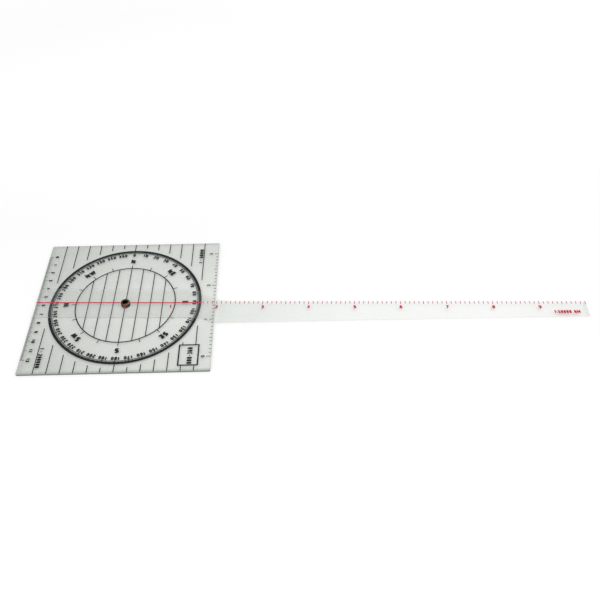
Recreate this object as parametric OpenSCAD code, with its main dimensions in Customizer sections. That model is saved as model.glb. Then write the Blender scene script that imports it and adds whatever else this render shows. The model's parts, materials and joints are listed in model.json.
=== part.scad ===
// Course ruler: a clear protractor plate with a compass rose and two chart
// scales, and a long clear ruler arm that turns on a hollow brass eyelet.
// +X is the plate's east, +Y its north and +Z up, with the origin on the pivot
// axis in the plate's flat underside. The arm's red centre line points through
// the pivot, so a course is read where it crosses the ring, and the ruling
// edge runs parallel to it.

/* [Plate] */
// Width of the plate, west edge to east edge
plate_w = 145; // [140:0.5:160]
// Height of the plate, south edge to north edge
plate_h = 138; // [134:0.5:160]
// Thickness of the plate's clear sheet
plate_t = 1.5; // [1.2:0.1:3]
// Radius of the plate's corners
corner_r = 1; // [0.5:0.1:4]

/* [Arm] */
// Thickness of the arm's clear sheet
arm_t = 1.0; // [0.8:0.1:2]
// Bearing of the arm at rest, turned left from the plate's east line
arm_angle = -1.7; // [-180:0.1:180]
// How far the arm's tail reaches past the plate's west edge
tail_overhang = 0.5; // [0:0.1:10]
// Half width of the arm where it is centred on the pivot
hub_half_w = 15.5; // [12:0.5:20]
// How far the ruling edge lies above the line through the pivot
ruling_offset = 2; // [0:0.1:5]
// Distance from the plate's east edge to the start of the ruling edge
ruling_start = 12; // [6:0.5:30]
// Length of the S-curve that brings the upper edge down to the ruling edge
shoulder_len = 38; // [30:1:60]
// Distance from the plate's east edge to the end of the lower flare
flare_past_plate = 3; // [2:0.5:20]
// Length of the S-curve that widens the lower edge
flare_len = 18; // [14:1:30]
// Width of the blade where the flare ends
blade_root_w = 22.5; // [21:0.5:26]
// Width of the blade at its tip
blade_tip_w = 15.5; // [12:0.5:20]
// Sheet left beyond the last graduation
tip_margin = 0.8; // [0.4:0.1:5]
// Sheet left between the upper edge and the print beside it
print_inset = 0.2; // [0.1:0.1:1]

/* [Pivot eyelet] */
// Radius of the pencil-point bore
bore_r = 2; // [1.5:0.1:2.2]
// Thickness of the brass that the eyelet is drawn from
eyelet_wall = 0.4; // [0.3:0.05:0.5]
// Outer radius of the rolled top flange
flange_r = 3.8; // [3.6:0.1:4.5]
// Radius of the clinched lower flange
clinch_r = 3.4; // [3.1:0.1:4]

/* [Clearances] */
// Radial running clearance between the arm and the barrel
run_clear = 0.05; // [0.02:0.01:0.1]
// Radial clearance of the barrel in the plate
seat_clear = 0.02; // [0.01:0.01:0.05]
// Radial clearance of the clinched flange in its counterbore
clinch_clear = 0.2; // [0.1:0.05:0.5]
// Bare sheet between the top flange and the print round it
print_gap = 0.3; // [0.1:0.1:1]
// Gap under and over the arm, above the print and below the flange
slide_gap = 0.05; // [0.03:0.01:0.2]

/* [Chart scales] */
// Denominator of the close scale, on the east edge and the arm
close_scale = 50000; // [46000:1000:60000]
// Denominator of the wide scale, on the west edge
wide_scale = 200000; // [180000:5000:250000]
// Nautical miles on the east edge
east_miles = 3; // [1:1:3]
// Nautical miles on the west edge
west_miles = 12; // [4:1:12]
// Nautical miles on the arm
arm_miles = 10; // [7:1:12]
// Length of a whole-mile tick on the plate's edges
edge_mile_tick = 3.4; // [2.6:0.1:4]
// Length of a half-mile tick on the plate's edges
edge_half_tick = 2.4; // [2:0.1:3]
// Length of a tenth-mile tick on the plate's edges
edge_tenth_tick = 1.7; // [1:0.1:2]
// Width of the ticks on the west edge
west_tick_w = 0.3; // [0.15:0.05:0.4]
// Width of the ticks on the east edge
east_tick_w = 0.5; // [0.2:0.05:0.8]
// Plate left bare between an edge and its scale
edge_margin = 0.3; // [0.1:0.1:1]

/* [Arm print] */
// Width of the red centre line
centre_line_w = 1.1; // [0.2:0.05:1.5]
// How far the centre line reaches past the degree ring
centre_line_past = 0.5; // [0:0.1:4]
// Distance from the tail's end to the start of the centre line
centre_line_margin = 0.8; // [0.4:0.1:5]
// Length of a whole-mile tick on the arm
arm_mile_tick = 3.2; // [3.2:0.1:5]
// Length of a half-mile tick on the arm
arm_half_tick = 2.9; // [2.8:0.1:3]
// Length of a tenth-mile tick on the arm
arm_tenth_tick = 2.6; // [1.2:0.1:2.6]
// Width of the ticks on the arm
arm_tick_w = 0.55; // [0.2:0.05:0.8]

/* [Compass rose] */
// Plate left between the degree ring and the nearest edge
ring_margin = 7.7; // [6:0.1:12]
// Width of the degree ring's outer circle
ring_line_w = 2.2; // [0.8:0.1:2.6]
// Depth of the one-degree ticks, from the ring's outer edge inward
degree_tick = 3.4; // [2.8:0.1:4]
// Depth of the ten-degree ticks, from the ring's outer edge inward
ten_tick = 4; // [3.4:0.1:5]
// Width of the one-degree ticks
degree_tick_w = 0.5; // [0.2:0.05:0.6]
// Width of the ten-degree ticks
ten_tick_w = 0.75; // [0.3:0.05:0.9]
// Width of the circle that the one-degree ticks stand on
degree_line_w = 0.35; // [0.2:0.05:0.5]
// Radius of the inner point circle
point_r = 40; // [36:0.5:44]
// Width of the inner point circle's line
point_line_w = 0.95; // [0.3:0.05:1.2]
// Reach of the compass-point ticks outside the inner circle
point_tick = 3.6; // [2:0.2:5]
// Width of the compass-point ticks
point_tick_w = 0.6; // [0.3:0.05:0.8]
// Spacing of the meridian lines
meridian_pitch = 10; // [8:0.5:12]
// Width of the meridian lines
meridian_w = 0.7; // [0.2:0.05:0.9]
// Plate left bare between the degree ring and the outer meridian lines
meridian_gap = 3.6; // [1:0.1:5]

/* [Label frame] */
// Width of the frame, line centre to line centre
label_w = 14.8; // [12:0.2:16]
// Height of the frame, line centre to line centre
label_h = 19.3; // [14:0.1:20]
// Width of the frame's line
label_line_w = 1.1; // [0.4:0.1:1.4]
// Distance from the plate's east edge to the frame
label_from_east = 10; // [8:0.5:11]
// Distance from the plate's south edge to the frame
label_from_south = 5.5; // [3:0.5:6]

/* [Hidden] */
// Metres in a nautical mile
nautical_mile = 1852;
// Compass points marked on the inner circle
compass_points = 16;
// Thickness of a printed ink layer
ink_t = 0.05;
// Length of one nautical mile at each scale
close_mile = nautical_mile * 1000 / close_scale;
wide_mile = nautical_mile * 1000 / wide_scale;
// Graduations in one mile
tenths = 10;
// Heights of the stack, from the underside up
arm_z = plate_t + ink_t + slide_gap;
arm_top = arm_z + arm_t;
flange_z = arm_top + slide_gap;
// Radii that fit one another
barrel_r = bore_r + eyelet_wall;
plate_hole_r = barrel_r + seat_clear;
arm_hole_r = barrel_r + run_clear;
counterbore_r = clinch_r + clinch_clear;
bare_r = flange_r + print_gap;
// Outer radius of the half ring that the top flange is rolled to
roll_r = (flange_r - bore_r) / 2;
// Places along the arm, measured from the pivot
tail_len = plate_w / 2 + tail_overhang;
arm_tip = arm_miles * close_mile + tip_margin;
flare_end = plate_w / 2 + flare_past_plate;
shoulder_start = plate_w / 2 + ruling_start - shoulder_len;
// Radii of the rose
ring_r = min(plate_w, plate_h) / 2 - ring_margin;
degree_tick_r = ring_r - degree_tick;
ten_tick_r = ring_r - ten_tick;
meridian_clear_r = ring_r + meridian_gap;
// Where the arm's centre line gives way to its scale
centre_line_end = ring_r + centre_line_past;
// Meridian lines that fit on each side of the pivot
meridians_inside = floor((point_r - point_line_w) / meridian_pitch);
meridians_outside = floor(ring_r / meridian_pitch);
// Corners of the label frame
label_east = plate_w / 2 - label_from_east;
label_south = -plate_h / 2 + label_from_south;
// Smoothness of circles
fine = 180;
coarse = 48;
// Overlap that lets cuts pass cleanly through a face
cut = 1;
// How far an S-curve's arcs pass its level lines, and how much they outgrow
// the radius at which they would only touch
arc_pass = 0.01;
arc_growth = 1.001;

// A rectangle with true arcs at its corners, centred on the origin
module rounded_rectangle(w, h, r) {
    square([w - 2 * r, h], center = true);
    square([w, h - 2 * r], center = true);
    for (x = [-1, 1], y = [-1, 1])
        translate([x * (w / 2 - r), y * (h / 2 - r)])
            circle(r, $fn = coarse);
}

// A flat ring between two radii
module flat_ring(outer_r, inner_r) {
    difference() {
        circle(outer_r, $fn = fine);
        circle(inner_r, $fn = fine);
    }
}

// A mark that lies along the radius, between two radii, at a compass bearing
module radial_mark(bearing, from_r, to_r, w) {
    rotate(-bearing)
        translate([-w / 2, from_r])
            square([w, to_r - from_r]);
}

// The area under an S-curve of two equal arcs that falls from drop to zero
// over its length. Each arc runs a hair past its level line and its partner,
// so that they cross there instead of only touching.
module under_s_curve(length, drop) {
    fall = drop + 2 * arc_pass;
    arc_r = (length * length + fall * fall) / (4 * fall) * arc_growth;
    difference() {
        union() {
            intersection() {
                square([length / 2, drop]);
                translate([0, drop + arc_pass - arc_r])
                    circle(arc_r, $fn = fine);
            }
            translate([length / 2, 0])
                square([length / 2, drop / 2]);
        }
        translate([length, arc_r - arc_pass])
            circle(arc_r, $fn = fine);
    }
}

// Ink layers on the plate and on the arm
module plate_ink() {
    color("#1b2420")
        translate([0, 0, plate_t])
            linear_extrude(ink_t)
                children();
}

module arm_ink() {
    color("#c5283a")
        rotate(arm_angle)
            translate([0, 0, arm_top])
                linear_extrude(ink_t)
                    children();
}

// Clear sheet with the eyelet's hole and, in its underside, the counterbore
// that takes the clinched flange flush
module base_plate() {
    color("#dfe6e1", 0.55)
        difference() {
            linear_extrude(plate_t)
                rounded_rectangle(plate_w, plate_h, corner_r);
            translate([0, 0, -cut])
                cylinder(r = plate_hole_r, h = plate_t + 2 * cut, $fn = coarse);
            translate([0, 0, -cut])
                cylinder(r = counterbore_r, h = eyelet_wall + cut, $fn = coarse);
        }
}

// Degree graduations that hang inward from the ring's heavy circle
module compass_ring() {
    plate_ink() {
        flat_ring(ring_r, ring_r - ring_line_w);
        flat_ring(degree_tick_r + degree_line_w, degree_tick_r);
        for (degree = [0 : 359])
            if (degree % 10 == 0)
                radial_mark(degree, ten_tick_r, ring_r - ring_line_w / 2, ten_tick_w);
            else
                radial_mark(degree, degree_tick_r, ring_r - ring_line_w / 2, degree_tick_w);
    }
}

// Inner circle with its compass-point ticks and the meridian lines inside it
module point_circle() {
    plate_ink() {
        flat_ring(point_r + point_line_w / 2, point_r - point_line_w / 2);
        for (point = [0 : compass_points - 1])
            radial_mark(point * 360 / compass_points, point_r, point_r + point_tick, point_tick_w);
        difference() {
            intersection() {
                circle(point_r, $fn = fine);
                for (i = [-meridians_inside : meridians_inside])
                    translate([i * meridian_pitch - meridian_w / 2, -point_r])
                        square([meridian_w, 2 * point_r]);
            }
            circle(bare_r, $fn = coarse);
        }
    }
}

// The label frame's outline, grown by a distance on every side
module label_area(grow) {
    translate([label_east - label_w - grow, label_south - grow])
        square([label_w + 2 * grow, label_h + 2 * grow]);
}

// Meridian lines outside the rose, with the north line carried in to the ring
module meridian_lines() {
    plate_ink()
        difference() {
            for (i = [-meridians_outside : meridians_outside])
                translate([i * meridian_pitch - meridian_w / 2, edge_margin - plate_h / 2])
                    square([meridian_w, plate_h - 2 * edge_margin]);
            difference() {
                circle(meridian_clear_r, $fn = fine);
                translate([-meridian_w, -meridian_clear_r - cut])
                    square([2 * meridian_w, 2 * (meridian_clear_r + cut)]);
            }
            circle(ring_r, $fn = fine);
            label_area(label_line_w / 2);
        }
}

// Ticks of an edge scale that start on a line and point along +X, with the
// scale's middle on the origin
module edge_ticks(miles, mile, w) {
    for (i = [0 : miles * tenths]) {
        reach = i % tenths == 0 ? edge_mile_tick
            : i % (tenths / 2) == 0 ? edge_half_tick
            : edge_tenth_tick;
        translate([0, (i / tenths - miles / 2) * mile - w / 2])
            square([reach, w]);
    }
}

module west_scale() {
    plate_ink()
        translate([edge_margin - plate_w / 2, 0])
            edge_ticks(west_miles, wide_mile, west_tick_w);
}

module east_scale() {
    plate_ink()
        translate([plate_w / 2 - edge_margin, 0])
            mirror([1, 0])
                edge_ticks(east_miles, close_mile, east_tick_w);
}

module label_frame() {
    plate_ink()
        difference() {
            label_area(label_line_w / 2);
            label_area(-label_line_w / 2);
        }
}

// Hollow eyelet drawn from one sheet of brass: a barrel, a top flange rolled
// over to a half ring, and a lower end clinched out flat under the plate
module pivot_eyelet() {
    color("#b08d3c")
        rotate_extrude($fn = coarse) {
            translate([bore_r, 0])
                square([eyelet_wall, flange_z]);
            intersection() {
                translate([bore_r + roll_r, flange_z])
                    difference() {
                        circle(roll_r, $fn = coarse);
                        circle(roll_r - eyelet_wall, $fn = coarse);
                    }
                translate([bore_r, flange_z])
                    square([2 * roll_r, roll_r]);
            }
            translate([bore_r, 0])
                square([clinch_r - eyelet_wall / 2 - bore_r, eyelet_wall]);
            translate([clinch_r - eyelet_wall / 2, eyelet_wall / 2])
                circle(eyelet_wall / 2, $fn = coarse);
        }
}

// Outline of the arm: a band centred on the pivot, then S-curves that bring
// the upper edge down to the ruling edge and the lower edge out to the blade
module arm_outline() {
    translate([-tail_len, -hub_half_w])
        square([tail_len + shoulder_start, 2 * hub_half_w]);
    translate([shoulder_start, ruling_offset])
        under_s_curve(shoulder_len, hub_half_w - ruling_offset);
    translate([shoulder_start, -hub_half_w])
        square([flare_end - shoulder_start, hub_half_w + ruling_offset]);
    translate([flare_end, -hub_half_w])
        mirror([1, 0])
            mirror([0, 1])
                under_s_curve(flare_len, blade_root_w - ruling_offset - hub_half_w);
    polygon([
        [flare_end, ruling_offset],
        [flare_end, ruling_offset - blade_root_w],
        [arm_tip, ruling_offset - blade_tip_w],
        [arm_tip, ruling_offset]
    ]);
}

module ruler_arm() {
    color("#eef2ee", 0.55)
        rotate(arm_angle)
            translate([0, 0, arm_z])
                difference() {
                    linear_extrude(arm_t)
                        arm_outline();
                    translate([0, 0, -cut])
                        cylinder(r = arm_hole_r, h = arm_t + 2 * cut, $fn = coarse);
                }
}

// Red line on the pivot's centre, bare round the flange
module arm_centre_line() {
    arm_ink()
        difference() {
            translate([centre_line_margin - tail_len, -centre_line_w / 2])
                square([tail_len - centre_line_margin + centre_line_end, centre_line_w]);
            circle(bare_r, $fn = coarse);
        }
}

// Ticks that hang from the ruling edge and its line over the plate, measured
// from the pivot
module arm_edge_scale() {
    arm_ink()
        for (i = [ceil((centre_line_end + arm_tick_w) / close_mile * tenths) : arm_miles * tenths]) {
            reach = i % tenths == 0 ? arm_mile_tick
                : i % (tenths / 2) == 0 ? arm_half_tick
                : arm_tenth_tick;
            translate([
                i / tenths * close_mile - arm_tick_w / 2,
                ruling_offset - print_inset - reach
            ])
                square([arm_tick_w, reach]);
        }
}

base_plate();
compass_ring();
point_circle();
meridian_lines();
west_scale();
east_scale();
label_frame();
pivot_eyelet();
ruler_arm();
arm_centre_line();
arm_edge_scale();
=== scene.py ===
"""Looks of the course ruler: camera, light, clear sheets, brass eyelet, numerals and letters."""

import json
import math
from collections import namedtuple

import bpy
from mathutils import Matrix, Vector
from mathutils.geometry import delaunay_2d_cdt


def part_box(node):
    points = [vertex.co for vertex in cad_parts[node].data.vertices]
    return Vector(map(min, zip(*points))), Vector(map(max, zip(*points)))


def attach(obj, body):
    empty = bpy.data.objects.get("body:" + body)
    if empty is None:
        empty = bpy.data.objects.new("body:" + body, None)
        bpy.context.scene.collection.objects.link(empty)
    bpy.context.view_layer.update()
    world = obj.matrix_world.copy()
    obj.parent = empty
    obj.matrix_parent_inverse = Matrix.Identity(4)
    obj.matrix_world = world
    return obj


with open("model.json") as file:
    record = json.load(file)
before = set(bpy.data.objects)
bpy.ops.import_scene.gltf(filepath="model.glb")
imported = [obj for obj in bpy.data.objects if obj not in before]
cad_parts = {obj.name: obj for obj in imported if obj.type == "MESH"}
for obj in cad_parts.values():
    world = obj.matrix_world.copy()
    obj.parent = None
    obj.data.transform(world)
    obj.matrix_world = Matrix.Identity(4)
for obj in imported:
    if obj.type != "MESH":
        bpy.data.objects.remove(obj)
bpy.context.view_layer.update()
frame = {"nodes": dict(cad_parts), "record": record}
nodes = frame["nodes"]
plate_low, plate_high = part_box("base_plate")
arm_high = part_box("ruler_arm")[1]

# Metres in a millimetre. The camera and the print are placed in mm, all else in metres.
MM = 0.001

# Camera, as the photograph was taken: place in mm, angles in degrees
CAMERA_AT = (134.73, -390.25, 432.90)
CAMERA_AZIMUTH = 0.954
CAMERA_BELOW_HORIZON = 47.875
CAMERA_ROLL = -0.540
FOCAL_PIXELS = 716.7
PHOTO_PIXELS = 600
SENSOR_MM = 36.0
CLIP_NEAR = 0.005
CLIP_FAR = 30.0

# Heights of the printed surfaces and thickness of the ink
PLATE_TOP = plate_high[2] / MM
ARM_TOP = arm_high[2] / MM
INK = 0.045

# Edges of the plate and outer radius of the compass ring
WEST, SOUTH = plate_low[0] / MM, plate_low[1] / MM
EAST, NORTH = plate_high[0] / MM, plate_high[1] / MM
RING_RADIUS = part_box("compass_ring")[1][0] / MM

# Scales printed on the plate and the arm: a nautical mile in mm, the ratios, and each one's miles
NAUTICAL_MILE = 1852000
CLOSE_RATIO = 50000
WIDE_RATIO = 200000
CLOSE_MILE = NAUTICAL_MILE / CLOSE_RATIO
WIDE_MILE = NAUTICAL_MILE / WIDE_RATIO
WEST_MILES = 12
EAST_MILES = 3
ARM_MILES = 10

# How far the arm is turned from east, in degrees
ARM_ANGLE = -1.7

# Height, digit width and pen width of each print
Type = namedtuple("Type", "tall wide pen")
ROSE_NUMERAL = Type(3.3, 2.25, 1.02)
ROSE_LETTER = Type(4.9, 3.6, 1.55)
WEST_NUMERAL = Type(3.0, 2.1, 0.95)
EAST_NUMERAL = Type(2.8, 2.0, 0.70)
RATIO = Type(3.5, 1.95, 0.98)
LABEL = Type(4.1, 1.98, 0.95)
ARM_NUMERAL = Type(3.5, 2.5, 1.00)
TIP_RATIO = Type(3.5, 1.85, 0.95)
TIP_UNIT = Type(3.5, 2.0, 0.90)

# Words of the rose, clockwise from north
COMPASS_POINTS = ("N", "NE", "E", "SE", "S", "SW", "W", "NW")

# How far the middle of each print lies from the edge or line that it goes by
NUMERALS_INSIDE_RING = 5.6
LETTERS_INSIDE_RING = 13.1
NUMERALS_FROM_WEST = 6.3
NUMERALS_FROM_EAST = 6.4
RATIOS_FROM_SIDE = 14.7
RATIO_FROM_SOUTH = 15.4
RATIO_FROM_NORTH = 16.0
LABEL_OFF_MIDDLE = (0.9, -0.65)
NUMERALS_BESIDE_PIVOT = -4.3
TIP_WORDS_BESIDE_PIVOT = -9.3
TIP_RATIO_BEFORE_END = 20.0
TIP_UNIT_BEFORE_END = 8.6

# A value that goes evenly from one number to another between two places, and stays there beyond
Ramp = namedtuple("Ramp", "start stop at_start at_stop")

# Range that holds most values of a noise
NOISE_LOW = 0.3
NOISE_HIGH = 0.7

# Clear sheet: how upright a face's normal is at least, how cloudy the faces and how sawn the cut
# edges are, the haze of scratches, and how the edges look from within the sheet
FACE_UPRIGHT = 0.5
FACE_CLOUDED = (0.88, 1.12)
EDGE_SAWN = (0.88, 1.10)
SAW_MARKS = (900.0, 900.0, 60.0)
SCRATCH_SHARE = 0.05
SCRATCH_DRAWN_OUT = 14.0
EDGE_FROM_WITHIN = Ramp(0.0, 1.0, 1.0, 0.35)

# Clear sheet: refraction, roughness of faces and edges, and gloss from straight on to grazing
SHEET_IOR = 1.49
SHEET_ROUGHNESS = Ramp(0.35, 0.7, 0.05, 0.13)
EDGE_ROUGHER = 0.25
GLOSS_AT_ANGLE = Ramp(0.0, 1.0, 0.05, 0.6)
GLOSS_POWER = 5.0

# Haze on the plate's faces, across x and y: painted shade over a little real haze, thicker to the
# west and towards the north and south
HAZE_AND_SHADE_WEST = Ramp(-0.072, 0.0, 0.085, 0.0)
HAZE_AND_SHADE_EAST = Ramp(0.0, 0.072, 0.060, 0.025)
HAZE_AND_SHADE_NORTH = Ramp(0.012, 0.060, 0.0, 0.050)
HAZE_AND_SHADE_SOUTH = Ramp(-0.060, -0.012, 0.030, 0.0)
# Painted light: less haze along the arm's rest line, so the plate is lighter there
PAINTED_LIGHT_ALONG_ARM = Ramp(0.008, 0.024, -0.025, 0.0)

# Painted shade and reflection on the plate's faces, by the distance from each cut edge: dark bands
# that stand in for the cut edges seen through the sheet
SHADE_BY_NORTH_EDGE = Ramp(0.0002, 0.0026, 0.075, 0.0)
SHADE_BY_SOUTH_EDGE = Ramp(0.0014, 0.0030, 0.38, 0.0)
SHADE_BY_WEST_EDGE = Ramp(0.0010, 0.0050, 0.085, 0.0)
SHADE_BY_EAST_EDGE = Ramp(0.0002, 0.0012, 0.06, 0.0)

# Haze of the plate's cut edges, least and most, in a dark green that is painted shade and reflection
PLATE_RIM = (0.74, 0.86)

# Painted shade on the arm's faces: grey that fades from one place along it, where it leaves the
# plate, over an even share
SHADE_FROM = 0.078
SHADE_FADES = 14.0
SHADE_SHARE = 0.098
EVEN_SHADE_SHARE = 0.017

# More of the arm's painted shade, by the distance along it or from its end, and the haze of its cut
# edges, denser near the plate as painted shade
PAST_PLATE = Ramp(0.070, 0.077, 0.0, 1.0)
SHADE_AT_TIP = Ramp(0.30, 0.37, 0.0, 0.030)
SHADE_BY_END = Ramp(0.0002, 0.0034, 0.10, 0.0)
ARM_RIM_HAZE_AND_SHADE = Ramp(0.066, 0.085, 0.34, 0.14)

# Ink: how thin it lies, patch by patch and where its grain peaks, and its roughness
THIN_IN_PATCHES = (0.0, 0.7)
THIN_IN_GRAIN = Ramp(0.35, 0.7, 0.0, 0.3)
INK_ROUGHNESS = (0.42, 0.62)

# Eyelet: how close its turning marks are, across and upward
TURNING_ACROSS = 26000.0
TURNING_UPWARD = 9000.0

# Eyelet: where its painted bore shade, tarnish and painted coppery highlight lie, by radius, height
# and x, and its specks
# Painted shade: the bore goes near black inside this radius
BORE_SHADE_RADII = Ramp(0.00225, 0.00265, 1.0, 0.0)
TARNISH_LOW_DOWN = Ramp(0.0027, 0.0034, 0.75, 0.0)
# Painted highlight: the crown turns coppery towards the east
HIGHLIGHT_EASTWARD = Ramp(-0.0015, 0.0035, 0.0, 1.0)
SPECK_PEAKS = Ramp(0.58, 0.72, 0.0, 0.5)

# Eyelet: its tones, how blotchy its tarnish is, and its roughness
CROWN_DULL = (0.105, 0.092, 0.052)
# Coppery painted highlight on the crown's east side
CROWN_HIGHLIGHT = (0.24, 0.14, 0.10)
TARNISH = (0.040, 0.032, 0.018)
SPECKS = (0.024, 0.017, 0.009)
# Near-black painted shade of the bore
BORE_SHADE_TONE = (0.012, 0.009, 0.007)
BLOTCHY = 0.55
BRASS_ROUGHNESS = (0.20, 0.36)
TARNISH_ROUGHER = 0.10
BORE_ROUGHER = 0.3

# Floor: half its width, its depth below the object, and its paper outside and the painted shade of
# the paper under the eyelet
FLOOR_HALF = 4.0
FLOOR_BELOW = 0.0001
PAPER = (0.80, 0.80, 0.80)
PAPER_SHADE_UNDER_EYELET = (0.20, 0.16, 0.13)
UNDER_EYELET = 0.0035
PAST_EYELET = 0.0040

# Glow of the floor as the camera sees it: none under the eyelet, as painted shade, then round the
# eyelet, beside the object and far off
GLOW = Ramp(UNDER_EYELET, PAST_EYELET, 0.0, 0.29)
GLOW_BESIDE = Ramp(0.10, 0.26, 0.0, 0.06)
GLOW_FAR_OFF = Ramp(0.50, 1.60, 0.0, 0.35)

# Light from all round, and the backdrop as the camera sees it
AMBIENT = 0.5
BACKDROP = 1.0

# Lamps: place, aim, width in metres and power in watts
KEY_LAMP = {"at": (0.55, -0.10, 1.30), "towards": (0.12, 0.0, 0.0), "size": 1.8, "power": 8.0}
FILL_LAMP = {"at": (-0.70, -0.90, 1.00), "towards": (0.10, 0.0, 0.0), "size": 1.2, "power": 5.0}


# Helpers


class Tree:
    """Adds nodes to one material or world and links them."""

    def __init__(self, owner):
        owner.use_nodes = True
        self.tree = owner.node_tree
        self.tree.nodes.clear()

    def add(self, kind, inputs=None, **settings):
        node = self.tree.nodes.new(kind)
        for key, value in settings.items():
            setattr(node, key, value)
        for key, value in (inputs or {}).items():
            socket = node.inputs[key]
            if isinstance(value, bpy.types.NodeSocket):
                self.tree.links.new(value, socket)
            else:
                socket.default_value = value
        return node

    def math(self, operation, first, second=0.0, clamp=False):
        node = self.add("ShaderNodeMath", {0: first, 1: second}, operation=operation)
        node.use_clamp = clamp
        return node.outputs[0]

    def total(self, values):
        whole = values[0]
        for value in values[1:]:
            whole = self.math("ADD", whole, value)
        return whole

    def noise(self, vector, scale, detail=3.0, roughness=0.5):
        node = self.add(
            "ShaderNodeTexNoise",
            {"Vector": vector, "Scale": scale, "Detail": detail, "Roughness": roughness},
        )
        return node.outputs["Fac"]

    def ramp(self, value, start, stop, at_start, at_stop):
        node = self.add(
            "ShaderNodeMapRange",
            {
                "Value": value,
                "From Min": start,
                "From Max": stop,
                "To Min": at_start,
                "To Max": at_stop,
            },
        )
        return node.outputs["Result"]

    def spread(self, noise, least, most):
        """A noise whose values are spread from a least to a most."""
        return self.ramp(noise, NOISE_LOW, NOISE_HIGH, least, most)

    def mix_colour(self, factor, first, second):
        """A mix node takes colours at its sockets 6 and 7, and gives one at its output 2."""
        node = self.add(
            "ShaderNodeMix", {0: factor, 6: first, 7: second}, data_type="RGBA"
        )
        return node.outputs[2]

    def mix_shader(self, factor, first, second):
        node = self.add("ShaderNodeMixShader", {0: factor, 1: first, 2: second})
        return node.outputs[0]

    def bump(self, height, strength, distance):
        node = self.add(
            "ShaderNodeBump", {"Strength": strength, "Distance": distance, "Height": height}
        )
        return node.outputs["Normal"]

    def scaled(self, vector, scale, angle=0.0):
        node = self.add(
            "ShaderNodeMapping",
            {"Vector": vector, "Rotation": (0.0, 0.0, math.radians(angle)), "Scale": scale},
        )
        return node.outputs[0]

    def parts(self, vector):
        """The x, y and z of a vector."""
        outputs = self.add("ShaderNodeSeparateXYZ", {0: vector}).outputs
        return outputs["X"], outputs["Y"], outputs["Z"]

    def object_place(self):
        return self.add("ShaderNodeTexCoord").outputs["Object"]

    def seen(self):
        """1 for what the camera sees, directly or mirrored, and 0 for what lights the object."""
        path = self.add("ShaderNodeLightPath").outputs
        mirrored = self.math("MAXIMUM", path["Is Glossy Ray"], path["Is Transmission Ray"])
        return self.math("MAXIMUM", path["Is Camera Ray"], mirrored)


def colour(red, green, blue):
    return (red, green, blue, 1.0)


def brighter(tone, times):
    return colour(*[times * part for part in tone])


def dress(obj, mat):
    obj.data.materials.clear()
    obj.data.materials.append(mat)


def new_object(name, data):
    obj = bpy.data.objects.new(name, data)
    bpy.context.scene.collection.objects.link(obj)
    return obj


# Clear sheets


def scratches(tree, place, angle, spacing, low, high):
    """Hairline scratches: noise drawn out along one direction, with only its peaks kept."""
    drawn_out = tree.scaled(place, (SCRATCH_DRAWN_OUT, spacing, 1.0), angle)
    return tree.ramp(tree.noise(drawn_out, scale=1.0, detail=2.0), low, high, 0.0, 1.0)


def cut_edge(tree, geometry):
    """1 on the sheet's cut edges, 0 on its faces."""
    upright = tree.parts(geometry.outputs["True Normal"])[2]
    return tree.math("LESS_THAN", tree.math("ABSOLUTE", upright), FACE_UPRIGHT)


def face_share(tree, place, haze):
    """Haze of a face: a little cloudy, and denser along two sets of hairline scratches."""
    cloud = tree.noise(place, scale=26.0, detail=4.0, roughness=0.55)
    hair = tree.math(
        "MAXIMUM",
        scratches(tree, place, angle=24.0, spacing=2600.0, low=0.70, high=0.80),
        scratches(tree, place, angle=-61.0, spacing=2100.0, low=0.71, high=0.82),
    )
    clouded = tree.math("MULTIPLY", haze, tree.spread(cloud, *FACE_CLOUDED))
    return tree.math("ADD", clouded, tree.math("MULTIPLY", hair, SCRATCH_SHARE))


def rim_share(tree, rim_haze, saw, backside):
    """Haze of a cut edge: marked by the saw, and fainter seen from within the sheet."""
    sawn = tree.math("MULTIPLY", rim_haze, tree.spread(saw, *EDGE_SAWN))
    return tree.math("MULTIPLY", sawn, tree.ramp(backside, *EDGE_FROM_WITHIN))


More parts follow.
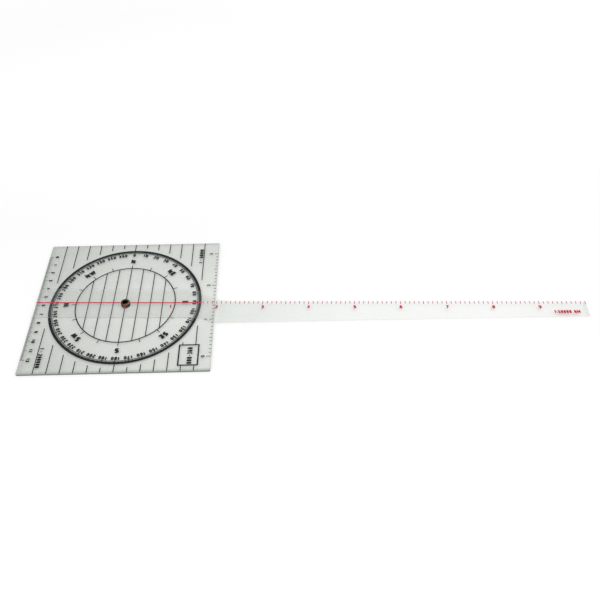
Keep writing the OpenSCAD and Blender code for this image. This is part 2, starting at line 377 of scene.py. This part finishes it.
def clear_sheet(name, tint, body, haze_and_shade_at, rim, rim_haze_at):
    """Clear plastic sheet: see-through faces with haze, painted shade and hairline scratches, denser
    cut edges.
    """
    mat = bpy.data.materials.new(name)
    tree = Tree(mat)
    place = tree.object_place()
    geometry = tree.add("ShaderNodeNewGeometry")
    backside = geometry.outputs["Backfacing"]
    edge = cut_edge(tree, geometry)
    smudge = tree.noise(place, scale=70.0, roughness=0.6)
    saw = tree.noise(tree.scaled(place, SAW_MARKS), scale=1.0, detail=2.0)

    on_face = face_share(tree, place, haze_and_shade_at(tree, place))
    on_edge = rim_share(tree, rim_haze_at(tree, place), saw, backside)
    opacity = tree.math(
        "ADD",
        tree.math("MULTIPLY", on_face, tree.math("SUBTRACT", 1.0, edge)),
        tree.math("MULTIPLY", on_edge, edge),
        clamp=True,
    )
    face_colour = tree.mix_colour(smudge, colour(*body), brighter(body, 1.12))
    rim_colour = tree.mix_colour(saw, colour(*rim), brighter(rim, 1.4))
    rough = tree.math(
        "ADD", tree.ramp(smudge, *SHEET_ROUGHNESS), tree.math("MULTIPLY", edge, EDGE_ROUGHER)
    )
    wave = tree.noise(place, scale=55.0, detail=2.0)
    ripple = tree.bump(wave, strength=0.04, distance=0.0002)
    haze = tree.add(
        "ShaderNodeBsdfPrincipled",
        {
            "Base Color": tree.mix_colour(edge, face_colour, rim_colour),
            "Roughness": rough,
            "IOR": SHEET_IOR,
            "Normal": ripple,
        },
    )
    through = tree.add("ShaderNodeBsdfTransparent", {"Color": colour(*tint)})
    sheet = tree.mix_shader(opacity, through.outputs[0], haze.outputs[0])

    gloss = tree.add(
        "ShaderNodeBsdfGlossy", {"Color": colour(1, 1, 1), "Roughness": rough, "Normal": ripple}
    )
    facing = tree.add("ShaderNodeLayerWeight", {"Blend": 0.5}).outputs["Facing"]
    shine = tree.ramp(tree.math("POWER", facing, GLOSS_POWER), *GLOSS_AT_ANGLE)
    shine = tree.math("MULTIPLY", shine, tree.math("SUBTRACT", 1.0, backside))
    whole = tree.mix_shader(shine, sheet, gloss.outputs[0])
    tree.add("ShaderNodeOutputMaterial", {"Surface": whole})
    return mat


def plate_haze(tree, place):
    """Painted shade over a little real haze, greyer to the west; painted light along the arm's rest
    line; painted shade where the cut edges show through.
    """
    x, y, _ = tree.parts(place)
    # Ramps of painted shade and painted light, added to the real haze
    ramps = [
        (x, HAZE_AND_SHADE_EAST),
        (x, HAZE_AND_SHADE_WEST),
        (y, HAZE_AND_SHADE_NORTH),
        (y, HAZE_AND_SHADE_SOUTH),
        (tree.math("ABSOLUTE", y), PAINTED_LIGHT_ALONG_ARM),
        (tree.math("SUBTRACT", plate_high[1], y), SHADE_BY_NORTH_EDGE),
        (tree.math("SUBTRACT", y, plate_low[1]), SHADE_BY_SOUTH_EDGE),
        (tree.math("SUBTRACT", x, plate_low[0]), SHADE_BY_WEST_EDGE),
        (tree.math("SUBTRACT", plate_high[0], x), SHADE_BY_EAST_EDGE),
    ]
    return tree.total([tree.ramp(value, *ramp) for value, ramp in ramps])


def plate_rim(tree, place):
    return tree.spread(tree.noise(place, scale=40.0), *PLATE_RIM)


def arm_along(tree, place):
    """How far along the arm a place is from the pivot, in metres."""
    x, y, _ = tree.parts(place)
    turn = math.radians(ARM_ANGLE)
    return tree.math(
        "ADD",
        tree.math("MULTIPLY", x, math.cos(turn)),
        tree.math("MULTIPLY", y, math.sin(turn)),
    )


def arm_haze(tree, place):
    """Painted shade: the arm is grey where it leaves the plate, clears towards its tip and greys a
    little again near the tip and its end.
    """
    along = arm_along(tree, place)
    from_end = tree.math("SUBTRACT", arm_high[0], along)
    # Painted shade that fades from where the arm leaves the plate
    fading = tree.math("MULTIPLY", tree.math("SUBTRACT", along, SHADE_FROM), -SHADE_FADES)
    arm_shade = tree.math("MULTIPLY", tree.math("EXPONENT", fading), SHADE_SHARE)
    shaded = tree.math("ADD", arm_shade, EVEN_SHADE_SHARE)
    return tree.total(
        [
            tree.math("MULTIPLY", shaded, tree.ramp(along, *PAST_PLATE)),
            tree.ramp(along, *SHADE_AT_TIP),
            tree.ramp(from_end, *SHADE_BY_END),
        ]
    )


# Haze of the arm's cut edges, denser near the plate as painted shade
def arm_rim(tree, place):
    return tree.ramp(arm_along(tree, place), *ARM_RIM_HAZE_AND_SHADE)


def plate_clear():
    return clear_sheet(
        "plate_clear",
        tint=(0.928, 0.936, 0.921),
        body=(0.40, 0.43, 0.39),
        haze_and_shade_at=plate_haze,
        # Dark green of the cut edges: painted shade and reflection
        rim=(0.050, 0.070, 0.066),
        rim_haze_at=plate_rim,
    )


def arm_clear():
    return clear_sheet(
        "arm_clear",
        tint=(0.999, 1.0, 0.998),
        body=(0.25, 0.39, 0.24),
        haze_and_shade_at=arm_haze,
        # Pink of the arm's cut edges: painted reflection of the red print
        rim=(0.52, 0.37, 0.36),
        rim_haze_at=arm_rim,
    )


# Inks and brass


def ink(name, thin, thick, sheen):
    """Screen-printed ink: slightly uneven density, fine tooth, soft sheen."""
    mat = bpy.data.materials.new(name)
    tree = Tree(mat)
    place = tree.object_place()
    density = tree.noise(place, scale=240.0, roughness=0.6)
    grain = tree.noise(place, scale=6500.0, detail=2.0, roughness=0.6)
    patches = tree.spread(density, *THIN_IN_PATCHES)
    thinness = tree.math("ADD", patches, tree.ramp(grain, *THIN_IN_GRAIN), clamp=True)
    solid = tree.add(
        "ShaderNodeBsdfPrincipled",
        {
            "Base Color": tree.mix_colour(thinness, colour(*thick), colour(*thin)),
            "Roughness": tree.spread(density, *INK_ROUGHNESS),
            "Specular IOR Level": sheen,
            "Normal": tree.bump(grain, strength=0.25, distance=0.00002),
        },
    )
    tree.add("ShaderNodeOutputMaterial", {"Surface": solid.outputs[0]})
    return mat


def black_ink():
    return ink("black_ink", thin=(0.012, 0.024, 0.021), thick=(0.003, 0.009, 0.008), sheen=0.12)


def red_ink():
    return ink("red_ink", thin=(0.70, 0.035, 0.085), thick=(0.52, 0.014, 0.045), sheen=0.20)


def brass():
    """Rolled brass eyelet: crown with a painted coppery highlight to the east, brown tarnish lower
    down, painted shade in the dark bore, turning marks.
    """
    mat = bpy.data.materials.new("brass")
    tree = Tree(mat)
    place = tree.object_place()
    x, y, z = tree.parts(place)
    squares = tree.math("ADD", tree.math("MULTIPLY", x, x), tree.math("MULTIPLY", y, y))
    radius = tree.math("SQRT", squares)
    blotch = tree.noise(place, scale=700.0, detail=4.0, roughness=0.6)
    speck = tree.noise(place, scale=4200.0, roughness=0.6)
    across = tree.math("MULTIPLY", radius, TURNING_ACROSS)
    upward = tree.math("MULTIPLY", z, TURNING_UPWARD)
    rings = tree.add("ShaderNodeCombineXYZ", {0: across, 1: upward})
    turned = tree.noise(rings.outputs[0], scale=1.0, detail=2.0)

    # Painted shade inside the bore
    bore_shade = tree.ramp(radius, *BORE_SHADE_RADII)
    low_down = tree.ramp(z, *TARNISH_LOW_DOWN)
    tarnish = tree.math("ADD", tree.math("MULTIPLY", blotch, BLOTCHY), low_down, clamp=True)
    # Painted highlight on the east side of the crown
    lit_east = tree.ramp(x, *HIGHLIGHT_EASTWARD)
    specks = tree.ramp(speck, *SPECK_PEAKS)
    base = tree.mix_colour(lit_east, colour(*CROWN_DULL), colour(*CROWN_HIGHLIGHT))
    base = tree.mix_colour(tarnish, base, colour(*TARNISH))
    base = tree.mix_colour(specks, base, colour(*SPECKS))
    base = tree.mix_colour(bore_shade, base, colour(*BORE_SHADE_TONE))
    rougher = tree.math(
        "ADD",
        tree.math("MULTIPLY", tarnish, TARNISH_ROUGHER),
        tree.math("MULTIPLY", bore_shade, BORE_ROUGHER),
    )
    solid = tree.add(
        "ShaderNodeBsdfPrincipled",
        {
            "Base Color": base,
            "Metallic": 1.0,
            "Roughness": tree.math("ADD", tree.spread(turned, *BRASS_ROUGHNESS), rougher),
            "Normal": tree.bump(tree.math("ADD", turned, speck), strength=0.25, distance=0.00003),
        },
    )
    tree.add("ShaderNodeOutputMaterial", {"Surface": solid.outputs[0]})
    return mat


FINISH = {
    "plate_clear": plate_clear(),
    "arm_clear": arm_clear(),
    "black_ink": black_ink(),
    "red_ink": red_ink(),
    "brass": brass(),
}

for part in frame["record"]["subparts"]:
    dress(nodes[part["node"]], FINISH[part["material_slot"]])
nodes["pivot_eyelet"].data.shade_smooth()


# Signs, as strokes of a pen

# Most degrees between two points of a bow
BOW_STEP = 22.0


def bow(x, y, wide, tall, start, stop):
    """Points along part of an ellipse, angles in degrees, anticlockwise from the right."""
    count = max(2, math.ceil(abs(stop - start) / BOW_STEP))
    angles = [math.radians(start + (stop - start) * i / count) for i in range(count + 1)]
    return [(x + wide * math.cos(angle), y + tall * math.sin(angle)) for angle in angles]


# Pen strokes of each sign, in a box one unit wide and one unit high
SIX = [
    bow(0.5, 0.31, 0.5, 0.31, 180, 540),
    [(0.0, 0.31)] + bow(0.55, 0.60, 0.55, 0.40, 180, 62),
]
STROKES = {
    "0": [bow(0.5, 0.68, 0.5, 0.32, 0, 180) + bow(0.5, 0.32, 0.5, 0.32, 180, 360) + [(1.0, 0.68)]],
    "1": [[(0.15, 0.74), (0.70, 1.0), (0.70, 0.0)]],
    "2": [bow(0.5, 0.70, 0.5, 0.30, 165, -25) + [(0.0, 0.0), (1.0, 0.0)]],
    "3": [bow(0.46, 0.755, 0.46, 0.245, 150, -90) + bow(0.46, 0.26, 0.54, 0.26, 90, -150)],
    "4": [[(0.72, 0.0), (0.72, 1.0), (0.0, 0.28), (1.0, 0.28)]],
    "5": [[(0.92, 1.0), (0.14, 1.0), (0.10, 0.53)] + bow(0.47, 0.32, 0.53, 0.33, 110, -150)],
    "6": SIX,
    "7": [[(0.0, 1.0), (1.0, 1.0), (0.38, 0.0)]],
    "8": [bow(0.5, 0.76, 0.44, 0.24, -90, 270), bow(0.5, 0.27, 0.5, 0.27, 90, 450)],
    "9": [[(1.0 - x, 1.0 - y) for x, y in stroke] for stroke in SIX],
    "N": [[(0.0, 0.0), (0.0, 1.0), (1.0, 0.0), (1.0, 1.0)]],
    "E": [[(1.0, 1.0), (0.0, 1.0), (0.0, 0.0), (1.0, 0.0)], [(0.0, 0.52), (0.85, 0.52)]],
    "S": [bow(0.5, 0.75, 0.47, 0.25, 25, 270) + bow(0.5, 0.25, 0.5, 0.25, 90, -155)],
    "W": [[(0.0, 1.0), (0.24, 0.0), (0.5, 0.80), (0.76, 0.0), (1.0, 1.0)]],
    "M": [[(0.0, 0.0), (0.0, 1.0), (0.5, 0.25), (1.0, 1.0), (1.0, 0.0)]],
    ":": [[(0.5, 0.10), (0.5, 0.30)], [(0.5, 0.65), (0.5, 0.85)]],
    "-": [[(0.0, 0.48), (1.0, 0.48)]],
    " ": [],
}
# Width of the signs that are wider or narrower than a digit, as a share of a digit
SHARE_OF_DIGIT = {"1": 0.75, "W": 1.45, "M": 1.35, ":": 0.40, "-": 0.80, " ": 0.45}
# Gap between two signs, as a share of their height
SIGN_GAP = 0.10
# Turns from here on get a disc instead of a mitre, as do those whose mitre takes more of a leg
SHARP_TURN = math.radians(50.0)
LONGEST_MITRE = 0.45
DISC_SIDES = 10
# Points closer than this are one point
SAME_POINT = 1e-6
# Kind of triangulation that fills only the inside of the pieces
INSIDE_ONLY = 1


def disc(middle, radius):
    steps = [2 * math.pi * i / DISC_SIDES for i in range(DISC_SIDES)]
    return [middle + Vector((radius * math.cos(step), radius * math.sin(step))) for step in steps]


def band(points, half):
    """Convex pieces that together cover a pen line of the given half width."""
    steps = zip(points, points[1:])
    points = points[:1] + [b for a, b in steps if math.dist(a, b) > SAME_POINT]
    legs = [Vector(b) - Vector(a) for a, b in zip(points, points[1:])]
    sides = [Vector((-leg.y, leg.x)).normalized() * half for leg in legs]
    last = len(legs) - 1
    joints = [(i, i + 1, points[i + 1]) for i in range(last)]
    if math.dist(points[0], points[-1]) < SAME_POINT:
        joints.append((last, 0, points[0]))
    starts, ends = list(sides), list(sides)
    discs = []
    for before, after, at in joints:
        turn = sides[before].angle(sides[after])
        shorter = min(legs[before].length, legs[after].length)
        if turn < SHARP_TURN and half * math.tan(turn / 2) < LONGEST_MITRE * shorter:
            mitre = (sides[before] + sides[after]).normalized() * half / math.cos(turn / 2)
            ends[before] = starts[after] = mitre
        else:
            discs.append(disc(Vector(at), half))
    pieces = []
    for i in range(last + 1):
        a, b = Vector(points[i]), Vector(points[i + 1])
        pieces.append([a - starts[i], b - ends[i], b + ends[i], a + starts[i]])
    return pieces + discs


def sign(letter, wide, tall, pen):
    """One sign as flat triangles, lower left corner at the origin, sizes in mm."""
    spots, pieces = [], []
    for stroke in STROKES[letter]:
        line = [(pen / 2 + x * (wide - pen), pen / 2 + y * (tall - pen)) for x, y in stroke]
        for piece in band(line, pen / 2):
            pieces.append(list(range(len(spots), len(spots) + len(piece))))
            spots += piece
    if not spots:
        return [], []
    joined, _, faces, _, _, sources = delaunay_2d_cdt(spots, [], pieces, INSIDE_ONLY, SAME_POINT)
    faces = [face for face, source in zip(faces, sources) if source]
    used = sorted({i for face in faces for i in face})
    place = {old: new for new, old in enumerate(used)}
    return [joined[i] for i in used], [[place[i] for i in face] for face in faces]


def solid_print(flat, faces):
    """Flat triangles given the thickness of the ink, with walls along their free sides."""
    count = len(flat)
    vertices = [Vector((v.x, v.y, height)) for height in (0.0, INK) for v in flat]
    sides = [side for face in faces for side in zip(face, face[1:] + face[:1])]
    known = set(sides)
    free = [(a, b) for a, b in sides if (b, a) not in known]
    solid = [[i + count for i in face] for face in faces]
    solid += [list(reversed(face)) for face in faces]
    solid += [[a, b, b + count, a + count] for a, b in free]
    return vertices, solid


def line_of_print(words, tall, wide, pen):
    """Vertices in mm and faces of one line of print, centred on its own middle."""
    vertices, faces = [], []
    gap = SIGN_GAP * tall
    at = 0.0
    for letter in words:
        width = max(wide * SHARE_OF_DIGIT.get(letter, 1.0), pen)
        flat, triangles = sign(letter, width, tall, pen)
        spots, solid = solid_print(flat, triangles)
        faces += [[i + len(vertices) for i in face] for face in solid]
        vertices += [spot + Vector((at, 0.0, 0.0)) for spot in spots]
        at += width + gap
    middle = Vector(((at - gap) / 2, tall / 2, 0.0))
    return [vertex - middle for vertex in vertices], faces


# Numerals and letters


def printed(name, items, body, slot, surface, turn=0.0):
    """items: words, the x and y of their middle in mm, their angle in degrees, and their type."""
    vertices, faces = [], []
    turned = Matrix.Scale(MM, 4) @ Matrix.Rotation(math.radians(turn), 4, "Z")
    for words, x, y, angle, size in items:
        spots, solid = line_of_print(words, *size)
        place = (
            turned
            @ Matrix.Translation((x, y, surface))
            @ Matrix.Rotation(math.radians(angle), 4, "Z")
        )
        faces += [[i + len(vertices) for i in face] for face in solid]
        vertices += [place @ spot for spot in spots]
    mesh = bpy.data.meshes.new(name)
    mesh.from_pydata(vertices, [], faces)
    obj = new_object(name, mesh)
    dress(obj, FINISH[slot])
    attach(obj, body)


def on_plate(name, items):
    printed(name, items, "base", "black_ink", PLATE_TOP)


def on_arm(name, items):
    printed(name, items, "arm", "red_ink", ARM_TOP, ARM_ANGLE)


def round_the_rose(words, course, inside_ring, size):
    angle = math.radians(course)
    radius = RING_RADIUS - inside_ring
    return (words, radius * math.sin(angle), radius * math.cos(angle), -course, size)


def print_rose():
    on_plate(
        "rose_numerals",
        [
            round_the_rose(str(course), course, NUMERALS_INSIDE_RING, ROSE_NUMERAL)
            for course in range(0, 360, 10)
        ],
    )
    on_plate(
        "rose_letters",
        [
            round_the_rose(words, course, LETTERS_INSIDE_RING, ROSE_LETTER)
            for course, words in zip(range(0, 360, 45), COMPASS_POINTS)
        ],
    )


def print_plate_scales():
    west = WEST + NUMERALS_FROM_WEST
    east = EAST - NUMERALS_FROM_EAST
    on_plate(
        "west_numerals",
        [
            (str(mile), west, (WEST_MILES / 2 - mile) * WIDE_MILE, -90.0, WEST_NUMERAL)
            for mile in range(WEST_MILES + 1)
        ],
    )
    on_plate(
        "east_numerals",
        [
            (str(mile), east, (mile - EAST_MILES / 2) * CLOSE_MILE, 90.0, EAST_NUMERAL)
            for mile in range(EAST_MILES + 1)
        ],
    )
    wide_at = (WEST + RATIOS_FROM_SIDE, SOUTH + RATIO_FROM_SOUTH)
    close_at = (EAST - RATIOS_FROM_SIDE, NORTH - RATIO_FROM_NORTH)
    on_plate(
        "ratio_words",
        [
            (f"1 : {WIDE_RATIO}", *wide_at, -90.0, RATIO),
            (f"1 : {CLOSE_RATIO}", *close_at, 90.0, RATIO),
        ],
    )


def print_label():
    """Plain numbers in the label frame: the first and the last course of the rose."""
    low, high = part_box("label_frame")
    middle = (low + high) / 2 / MM
    x, y = (middle[i] + LABEL_OFF_MIDDLE[i] for i in range(2))
    on_plate("label_numerals", [("000-360", x, y, 90.0, LABEL)])


def print_arm():
    end = ARM_MILES * CLOSE_MILE
    on_arm(
        "arm_numerals",
        [
            (str(mile), mile * CLOSE_MILE, NUMERALS_BESIDE_PIVOT, 0.0, ARM_NUMERAL)
            for mile in range(ARM_MILES)
        ],
    )
    ratio_at = (end - TIP_RATIO_BEFORE_END, TIP_WORDS_BESIDE_PIVOT)
    unit_at = (end - TIP_UNIT_BEFORE_END, TIP_WORDS_BESIDE_PIVOT)
    on_arm(
        "arm_tip_words",
        [
            (f"1:{CLOSE_RATIO}", *ratio_at, 0.0, TIP_RATIO),
            ("NM", *unit_at, 0.0, TIP_UNIT),
        ],
    )


print_rose()
print_plate_scales()
print_label()
print_arm()


# Floor, light and camera


def floor_white():
    """White paper that glows a little for the camera, with painted shade and no glow under the
    eyelet's bore.
    """
    mat = bpy.data.materials.new("floor_white")
    tree = Tree(mat)
    place = tree.object_place()
    away = tree.add("ShaderNodeVectorMath", {0: place}, operation="LENGTH").outputs["Value"]
    across = tree.math("ABSOLUTE", tree.parts(place)[1])
    # Painted shade: dark paper and no glow under the eyelet
    unshaded = tree.ramp(away, UNDER_EYELET, PAST_EYELET, 0.0, 1.0)
    paper = tree.add(
        "ShaderNodeBsdfDiffuse",
        {"Color": tree.mix_colour(unshaded, colour(*PAPER_SHADE_UNDER_EYELET), colour(*PAPER))},
    )
    level = tree.total(
        [
            tree.ramp(away, *GLOW),
            tree.ramp(across, *GLOW_BESIDE),
            tree.ramp(away, *GLOW_FAR_OFF),
        ]
    )
    glow = tree.add(
        "ShaderNodeEmission",
        {"Color": colour(1, 1, 1), "Strength": tree.math("MULTIPLY", tree.seen(), level)},
    )
    both = tree.add("ShaderNodeAddShader", {0: paper.outputs[0], 1: glow.outputs[0]})
    tree.add("ShaderNodeOutputMaterial", {"Surface": both.outputs[0]})
    return mat


def make_floor():
    mesh = bpy.data.meshes.new("floor")
    corners = [(-1, -1), (1, -1), (1, 1), (-1, 1)]
    mesh.from_pydata(
        [(x * FLOOR_HALF, y * FLOOR_HALF, -FLOOR_BELOW) for x, y in corners], [], [(0, 1, 2, 3)]
    )
    floor = new_object("floor", mesh)
    dress(floor, floor_white())


def make_world():
    world = bpy.data.worlds.new("studio")
    bpy.context.scene.world = world
    tree = Tree(world)
    light = tree.add("ShaderNodeBackground", {"Color": colour(1, 1, 1), "Strength": AMBIENT})
    backdrop = tree.add("ShaderNodeBackground", {"Color": colour(1, 1, 1), "Strength": BACKDROP})
    sky = tree.mix_shader(tree.seen(), light.outputs[0], backdrop.outputs[0])
    tree.add("ShaderNodeOutputWorld", {"Surface": sky})


def area_light(name, at, towards, size, power):
    light = bpy.data.lights.new(name, "AREA")
    light.shape = "DISK"
    light.size = size
    light.energy = power
    lamp = new_object(name, light)
    lamp.location = at
    lamp.rotation_euler = (Vector(towards) - Vector(at)).to_track_quat("-Z", "Y").to_euler()


def make_camera():
    azimuth = math.radians(CAMERA_AZIMUTH)
    below = math.radians(CAMERA_BELOW_HORIZON)
    roll = math.radians(CAMERA_ROLL)
    forward = Vector(
        (math.sin(azimuth) * math.cos(below), math.cos(azimuth) * math.cos(below), -math.sin(below))
    )
    level = Vector((math.cos(azimuth), -math.sin(azimuth), 0.0))
    upward = level.cross(forward)
    right = level * math.cos(roll) + upward * math.sin(roll)
    up = upward * math.cos(roll) - level * math.sin(roll)
    turned = Matrix((right, up, -forward)).transposed().to_4x4()
    data = bpy.data.cameras.new("camera")
    data.sensor_width = SENSOR_MM
    data.lens = FOCAL_PIXELS / PHOTO_PIXELS * SENSOR_MM
    data.clip_start = CLIP_NEAR
    data.clip_end = CLIP_FAR
    camera = new_object("camera", data)
    camera.matrix_world = Matrix.Translation(Vector(CAMERA_AT) * MM) @ turned
    bpy.context.scene.camera = camera


make_floor()
make_world()
area_light("key", **KEY_LAMP)
area_light("fill", **FILL_LAMP)
make_camera()
bpy.context.scene.view_settings.view_transform = "Standard"
